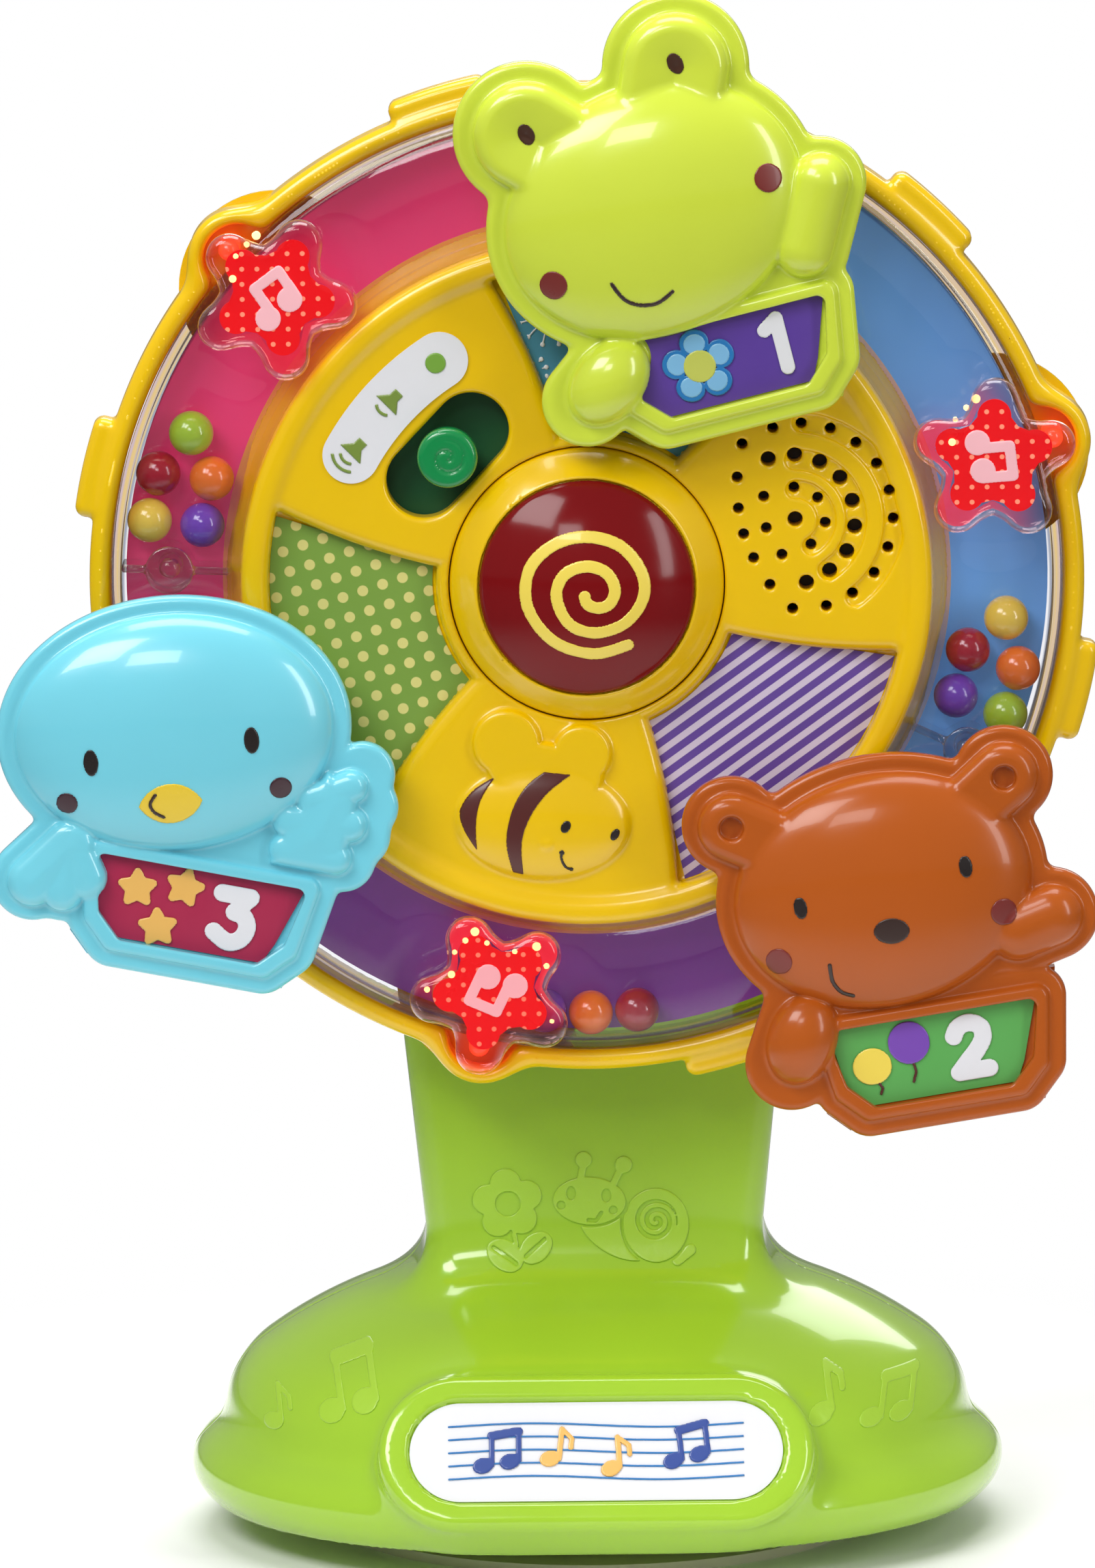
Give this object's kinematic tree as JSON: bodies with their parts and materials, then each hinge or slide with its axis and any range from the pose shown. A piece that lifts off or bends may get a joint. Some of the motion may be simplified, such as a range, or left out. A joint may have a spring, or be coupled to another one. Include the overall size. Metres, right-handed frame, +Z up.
{
  "type": "musical activity wheel",
  "caption": "Table-top baby activity wheel on a suction-cup stand: a spinning wheel with swinging animal gondolas, loose beads under a clear track, a centre button and a volume switch.",
  "frame": {"origin": "middle of the suction cup's rim on the table, under the post", "axes": "+Z up, the wheel's face looks along -Y, +X to the right seen from the front"},
  "size_m": [0.1616, 0.1027, 0.2328],
  "materials": {
    "lime_plastic": "smooth moulded, glossy",
    "yellow_plastic": "smooth moulded, glossy",
    "frog_plastic": "smooth moulded, glossy",
    "bear_plastic": "smooth moulded, glossy",
    "bird_plastic": "smooth moulded, glossy",
    "clear_plastic": "clear, polished",
    "cup_vinyl": "soft, translucent",
    "red_plastic": "smooth moulded, glossy",
    "knob_plastic": "smooth moulded, glossy",
    "slider_plastic": "smooth moulded",
    "bead_plastic": "polished, several colours",
    "floor_red": "printed film",
    "floor_blue": "printed film",
    "floor_purple": "printed film",
    "star_print": "printed film",
    "sticker_blue": "printed sticker",
    "sticker_green": "printed sticker",
    "sticker_lilac": "printed sticker",
    "label_white": "printed sticker",
    "label_purple": "printed sticker",
    "label_green": "printed sticker",
    "label_crimson": "printed sticker",
    "lamp": "translucent",
    "board": "coated",
    "dark_plastic": "moulded",
    "cell_jacket": "wrapped",
    "silicone": "soft",
    "steel": "plated"
  },
  "bodies": {
    "stand": {"stand_front_shell": "lime_plastic", "stand_rear_shell": "lime_plastic", "base_plate": "lime_plastic", "base_plate_screws": "steel", "stand_screws": "steel", "suction_cup": "cup_vinyl", "suction_cup_retainer": "dark_plastic", "front_label": "label_white", "axle_shaft": "steel", "axle_washer": "steel", "axle_retainer": "steel"},
    "wheel": {"wheel_back_shell": "yellow_plastic", "hub_face": "yellow_plastic", "outer_rim": "yellow_plastic", "bead_track_cover": "clear_plastic", "track_floor_red": "floor_red", "track_floor_blue": "floor_blue", "track_floor_purple": "floor_purple", "star_lenses": "clear_plastic", "star_prints": "star_print", "star_lamps": "lamp", "sticker_blue": "sticker_blue", "sticker_green": "sticker_green", "sticker_lilac": "sticker_lilac", "switch_label": "label_white", "speaker": "dark_plastic", "circuit_board": "board", "battery_cells": "cell_jacket", "battery_contacts": "steel", "battery_door": "yellow_plastic", "battery_door_screw": "steel", "wheel_screws": "steel", "gondola_pins": "steel", "gondola_pin_caps": "steel", "button_springs": "silicone"},
    "button": {"button_cap": "yellow_plastic", "button_disc": "red_plastic"},
    "volume_switch": {"volume_knob": "knob_plastic", "volume_slider": "slider_plastic"},
    "frog": {"frog_front_shell": "frog_plastic", "frog_back_shell": "frog_plastic", "frog_label": "label_purple"},
    "bear": {"bear_front_shell": "bear_plastic", "bear_back_shell": "bear_plastic", "bear_label": "label_green"},
    "bird": {"bird_front_shell": "bird_plastic", "bird_back_shell": "bird_plastic", "bird_label": "label_crimson"},
    "red_track_beads": {"beads_red": "bead_plastic"},
    "blue_track_beads": {"beads_blue": "bead_plastic"},
    "purple_track_beads": {"beads_purple": "bead_plastic"}
  },
  "joints": [
    {"name": "wheel_spin", "type": "hinge", "parent": "stand", "child": "wheel", "pos_m": [0, 0, 0.146], "axis": [0, -1, 0], "continuous": true},
    {"name": "frog_swing", "type": "hinge", "parent": "wheel", "child": "frog", "pos_m": [0.01401, 0, 0.20434], "axis": [0, -1, 0], "continuous": true},
    {"name": "bird_swing", "type": "hinge", "parent": "wheel", "child": "bird", "pos_m": [-0.05753, 0, 0.12896], "axis": [0, -1, 0], "continuous": true},
    {"name": "bear_swing", "type": "hinge", "parent": "wheel", "child": "bear", "pos_m": [0.04352, 0, 0.1047], "axis": [0, -1, 0], "continuous": true},
    {"name": "button_press", "type": "slide", "parent": "wheel", "child": "button", "axis": [0, 1, 0], "range_m": [0, 0.0025], "stiffness_N_per_m": 600, "deforming": ["button_springs"]},
    {"name": "volume_slide", "type": "slide", "parent": "wheel", "child": "volume_switch", "axis": [-0.6884, 0, -0.7254], "range_m": [-0.005, 0.005]},
    {"name": "red_beads_roll", "type": "hinge", "parent": "wheel", "child": "red_track_beads", "pos_m": [0, 0, 0.146], "axis": [0, 1, 0], "range_deg": [0, 56]},
    {"name": "blue_beads_roll", "type": "hinge", "parent": "wheel", "child": "blue_track_beads", "pos_m": [0, 0, 0.146], "axis": [0, -1, 0], "range_deg": [0, 56]},
    {"name": "purple_beads_roll", "type": "hinge", "parent": "wheel", "child": "purple_track_beads", "pos_m": [0, 0, 0.146], "axis": [0, -1, 0], "range_deg": [-30, 16]}
  ]
}
